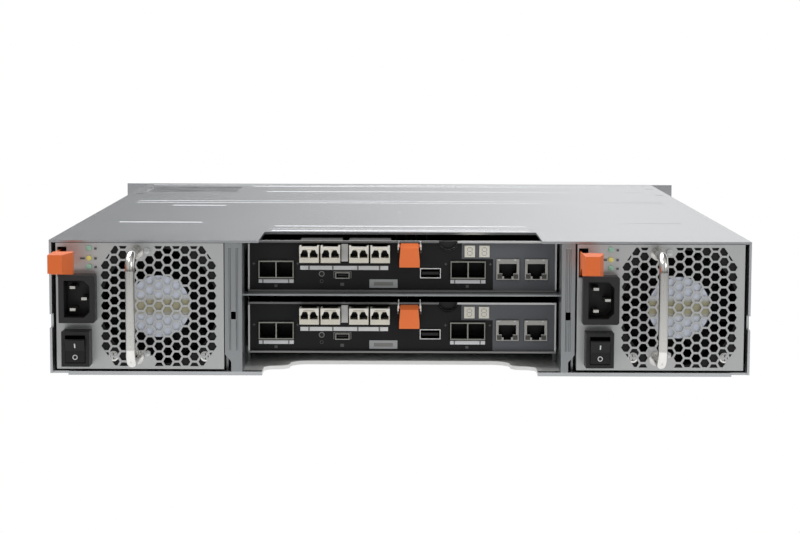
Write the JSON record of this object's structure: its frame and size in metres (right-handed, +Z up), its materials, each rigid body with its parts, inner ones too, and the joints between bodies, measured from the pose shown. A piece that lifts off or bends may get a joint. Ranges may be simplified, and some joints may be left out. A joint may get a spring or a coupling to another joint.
{
  "type": "disk shelf enclosure",
  "caption": "2U rack disk shelf: sheet-metal chassis with hot-swap drives at one end, two power and cooling units and two stacked controllers at the other.",
  "frame": {"origin": "centre of the shelf's footprint, on its underside", "axes": "+X to the right seen from the rear, +Y from the rear panel towards the drives, +Z up"},
  "size_m": [0.4826, 0.611, 0.0864],
  "materials": {
    "chassis_steel": "galvanised sheet, satin",
    "unit_steel": "plated sheet, satin",
    "handle_steel": "polished rod",
    "spring_steel": "spring steel",
    "orange_plastic": "moulded, satin",
    "black_plastic": "moulded, fine grain",
    "rocker_plastic": "moulded, gloss",
    "port_metal": "bright plated",
    "jack_shell": "plated shells with black inserts",
    "transceiver": "beige-white",
    "circuit_board": "green solder mask",
    "fan_plastic": "moulded, satin",
    "carrier_plastic": "dark carrier with disk",
    "handle_plastic": "moulded, satin"
  },
  "bodies": {
    "chassis": {"floor_pan": "chassis_steel", "rear_top_cover": "chassis_steel", "front_top_cover": "chassis_steel", "rear_bay_frame": "unit_steel", "drive_cage": "unit_steel", "midplane_board": "circuit_board"},
    "psu_left": {"psu_left_case": "unit_steel", "psu_left_face": "unit_steel", "psu_left_handle": "handle_steel", "psu_left_inlet": "black_plastic", "psu_left_switch_frame": "black_plastic", "psu_left_fan_frame": "fan_plastic"},
    "psu_left_rocker": {"psu_left_rocker": "rocker_plastic"},
    "psu_left_latch": {"psu_left_latch": "orange_plastic"},
    "psu_left_fan": {"psu_left_fan_rotor": "fan_plastic"},
    "psu_right": {"psu_right_case": "unit_steel", "psu_right_face": "unit_steel", "psu_right_handle": "handle_steel", "psu_right_inlet": "black_plastic", "psu_right_switch_frame": "black_plastic", "psu_right_fan_frame": "fan_plastic"},
    "psu_right_rocker": {"psu_right_rocker": "rocker_plastic"},
    "psu_right_latch": {"psu_right_latch": "orange_plastic"},
    "psu_right_fan": {"psu_right_fan_rotor": "fan_plastic"},
    "controller_lower": {"controller_lower_tray": "unit_steel", "controller_lower_board": "circuit_board", "controller_lower_cages": "port_metal", "controller_lower_jacks": "jack_shell", "controller_lower_transceivers": "transceiver"},
    "controller_lower_lever": {"controller_lower_lever": "orange_plastic"},
    "controller_upper": {"controller_upper_tray": "unit_steel", "controller_upper_board": "circuit_board", "controller_upper_cages": "port_metal", "controller_upper_jacks": "jack_shell", "controller_upper_transceivers": "transceiver"},
    "controller_upper_lever": {"controller_upper_lever": "orange_plastic"},
    "drive_1_1": {"drive_1_1": "carrier_plastic"},
    "drive_1_1_handle": {"drive_1_1_handle": "handle_plastic"},
    "drive_1_2": {"drive_1_2": "carrier_plastic"},
    "drive_1_2_handle": {"drive_1_2_handle": "handle_plastic"},
    "drive_1_3": {"drive_1_3": "carrier_plastic"},
    "drive_1_3_handle": {"drive_1_3_handle": "handle_plastic"},
    "drive_2_1": {"drive_2_1": "carrier_plastic"},
    "drive_2_1_handle": {"drive_2_1_handle": "handle_plastic"},
    "drive_2_2": {"drive_2_2": "carrier_plastic"},
    "drive_2_2_handle": {"drive_2_2_handle": "handle_plastic"},
    "drive_2_3": {"drive_2_3": "carrier_plastic"},
    "drive_2_3_handle": {"drive_2_3_handle": "handle_plastic"},
    "drive_3_1": {"drive_3_1": "carrier_plastic"},
    "drive_3_1_handle": {"drive_3_1_handle": "handle_plastic"},
    "drive_3_2": {"drive_3_2": "carrier_plastic"},
    "drive_3_2_handle": {"drive_3_2_handle": "handle_plastic"},
    "drive_3_3": {"drive_3_3": "carrier_plastic"},
    "drive_3_3_handle": {"drive_3_3_handle": "handle_plastic"},
    "drive_4_1": {"drive_4_1": "carrier_plastic"},
    "drive_4_1_handle": {"drive_4_1_handle": "handle_plastic"},
    "drive_4_2": {"drive_4_2": "carrier_plastic"},
    "drive_4_2_handle": {"drive_4_2_handle": "handle_plastic"},
    "drive_4_3": {"drive_4_3": "carrier_plastic"},
    "drive_4_3_handle": {"drive_4_3_handle": "handle_plastic"}
  },
  "joints": [
    {"name": "psu_left_slide", "type": "slide", "parent": "chassis", "child": "psu_left", "axis": [0, -1, 0], "range_m": [0, 0.32]},
    {"name": "psu_left_rocker_hinge", "type": "hinge", "parent": "psu_left", "child": "psu_left_rocker", "pos_m": [-0.2049, -0.2725, 0.0184], "axis": [1, 0, 0], "range_deg": [-18, 0]},
    {"name": "psu_left_latch_hinge", "type": "hinge", "parent": "psu_left", "child": "psu_left_latch", "pos_m": [-0.2158, -0.2235, 0.072], "axis": [0, 0, 1], "range_deg": [0, 5], "stiffness_Nm_per_rad": 0.8, "springref_deg": -5.73},
    {"name": "psu_left_fan_spin", "type": "hinge", "parent": "psu_left", "child": "psu_left_fan", "pos_m": [-0.1534, -0.2495, 0.0441], "axis": [0, 1, 0], "continuous": true},
    {"name": "psu_right_slide", "type": "slide", "parent": "chassis", "child": "psu_right", "axis": [0, -1, 0], "range_m": [0, 0.32]},
    {"name": "psu_right_rocker_hinge", "type": "hinge", "parent": "psu_right", "child": "psu_right_rocker", "pos_m": [0.1262, -0.2725, 0.0184], "axis": [1, 0, 0], "range_deg": [-18, 0]},
    {"name": "psu_right_latch_hinge", "type": "hinge", "parent": "psu_right", "child": "psu_right_latch", "pos_m": [0.1153, -0.2235, 0.072], "axis": [0, 0, 1], "range_deg": [0, 5], "stiffness_Nm_per_rad": 0.8, "springref_deg": -5.73},
    {"name": "psu_right_fan_spin", "type": "hinge", "parent": "psu_right", "child": "psu_right_fan", "pos_m": [0.1777, -0.2495, 0.0441], "axis": [0, 1, 0], "continuous": true},
    {"name": "controller_lower_slide", "type": "slide", "parent": "chassis", "child": "controller_lower", "axis": [0, -1, 0], "range_m": [0, 0.3]},
    {"name": "controller_lower_lever_hinge", "type": "hinge", "parent": "controller_lower", "child": "controller_lower_lever", "pos_m": [0.00595, -0.2417, 0.0413], "axis": [1, 0, 0], "range_deg": [-65, 0]},
    {"name": "controller_upper_slide", "type": "slide", "parent": "chassis", "child": "controller_upper", "axis": [0, -1, 0], "range_m": [0, 0.3]},
    {"name": "controller_upper_lever_hinge", "type": "hinge", "parent": "controller_upper", "child": "controller_upper_lever", "pos_m": [0.00595, -0.2417, 0.0811], "axis": [1, 0, 0], "range_deg": [-65, 0]},
    {"name": "drive_1_1_slide", "type": "slide", "parent": "chassis", "child": "drive_1_1", "axis": [0, 1, 0], "range_m": [0, 0.2]},
    {"name": "drive_1_1_handle_hinge", "type": "hinge", "parent": "drive_1_1", "child": "drive_1_1_handle", "pos_m": [-0.2112, 0.2931, 0.0109], "axis": [0, 0, 1], "range_deg": [0, 60]},
    {"name": "drive_1_2_slide", "type": "slide", "parent": "chassis", "child": "drive_1_2", "axis": [0, 1, 0], "range_m": [0, 0.2]},
    {"name": "drive_1_2_handle_hinge", "type": "hinge", "parent": "drive_1_2", "child": "drive_1_2_handle", "pos_m": [-0.2112, 0.2931, 0.0387], "axis": [0, 0, 1], "range_deg": [0, 60]},
    {"name": "drive_1_3_slide", "type": "slide", "parent": "chassis", "child": "drive_1_3", "axis": [0, 1, 0], "range_m": [0, 0.2]},
    {"name": "drive_1_3_handle_hinge", "type": "hinge", "parent": "drive_1_3", "child": "drive_1_3_handle", "pos_m": [-0.2112, 0.2931, 0.0665], "axis": [0, 0, 1], "range_deg": [0, 60]},
    {"name": "drive_2_1_slide", "type": "slide", "parent": "chassis", "child": "drive_2_1", "axis": [0, 1, 0], "range_m": [0, 0.2]},
    {"name": "drive_2_1_handle_hinge", "type": "hinge", "parent": "drive_2_1", "child": "drive_2_1_handle", "pos_m": [-0.10045, 0.2931, 0.0109], "axis": [0, 0, 1], "range_deg": [0, 60]},
    {"name": "drive_2_2_slide", "type": "slide", "parent": "chassis", "child": "drive_2_2", "axis": [0, 1, 0], "range_m": [0, 0.2]},
    {"name": "drive_2_2_handle_hinge", "type": "hinge", "parent": "drive_2_2", "child": "drive_2_2_handle", "pos_m": [-0.10045, 0.2931, 0.0387], "axis": [0, 0, 1], "range_deg": [0, 60]},
    {"name": "drive_2_3_slide", "type": "slide", "parent": "chassis", "child": "drive_2_3", "axis": [0, 1, 0], "range_m": [0, 0.2]},
    {"name": "drive_2_3_handle_hinge", "type": "hinge", "parent": "drive_2_3", "child": "drive_2_3_handle", "pos_m": [-0.10045, 0.2931, 0.0665], "axis": [0, 0, 1], "range_deg": [0, 60]},
    {"name": "drive_3_1_slide", "type": "slide", "parent": "chassis", "child": "drive_3_1", "axis": [0, 1, 0], "range_m": [0, 0.2]},
    {"name": "drive_3_1_handle_hinge", "type": "hinge", "parent": "drive_3_1", "child": "drive_3_1_handle", "pos_m": [0.0103, 0.2931, 0.0109], "axis": [0, 0, 1], "range_deg": [0, 60]},
    {"name": "drive_3_2_slide", "type": "slide", "parent": "chassis", "child": "drive_3_2", "axis": [0, 1, 0], "range_m": [0, 0.2]},
    {"name": "drive_3_2_handle_hinge", "type": "hinge", "parent": "drive_3_2", "child": "drive_3_2_handle", "pos_m": [0.0103, 0.2931, 0.0387], "axis": [0, 0, 1], "range_deg": [0, 60]},
    {"name": "drive_3_3_slide", "type": "slide", "parent": "chassis", "child": "drive_3_3", "axis": [0, 1, 0], "range_m": [0, 0.2]},
    {"name": "drive_3_3_handle_hinge", "type": "hinge", "parent": "drive_3_3", "child": "drive_3_3_handle", "pos_m": [0.0103, 0.2931, 0.0665], "axis": [0, 0, 1], "range_deg": [0, 60]},
    {"name": "drive_4_1_slide", "type": "slide", "parent": "chassis", "child": "drive_4_1", "axis": [0, 1, 0], "range_m": [0, 0.2]},
    {"name": "drive_4_1_handle_hinge", "type": "hinge", "parent": "drive_4_1", "child": "drive_4_1_handle", "pos_m": [0.12105, 0.2931, 0.0109], "axis": [0, 0, 1], "range_deg": [0, 60]},
    {"name": "drive_4_2_slide", "type": "slide", "parent": "chassis", "child": "drive_4_2", "axis": [0, 1, 0], "range_m": [0, 0.2]},
    {"name": "drive_4_2_handle_hinge", "type": "hinge", "parent": "drive_4_2", "child": "drive_4_2_handle", "pos_m": [0.12105, 0.2931, 0.0387], "axis": [0, 0, 1], "range_deg": [0, 60]},
    {"name": "drive_4_3_slide", "type": "slide", "parent": "chassis", "child": "drive_4_3", "axis": [0, 1, 0], "range_m": [0, 0.2]},
    {"name": "drive_4_3_handle_hinge", "type": "hinge", "parent": "drive_4_3", "child": "drive_4_3_handle", "pos_m": [0.12105, 0.2931, 0.0665], "axis": [0, 0, 1], "range_deg": [0, 60]}
  ]
}
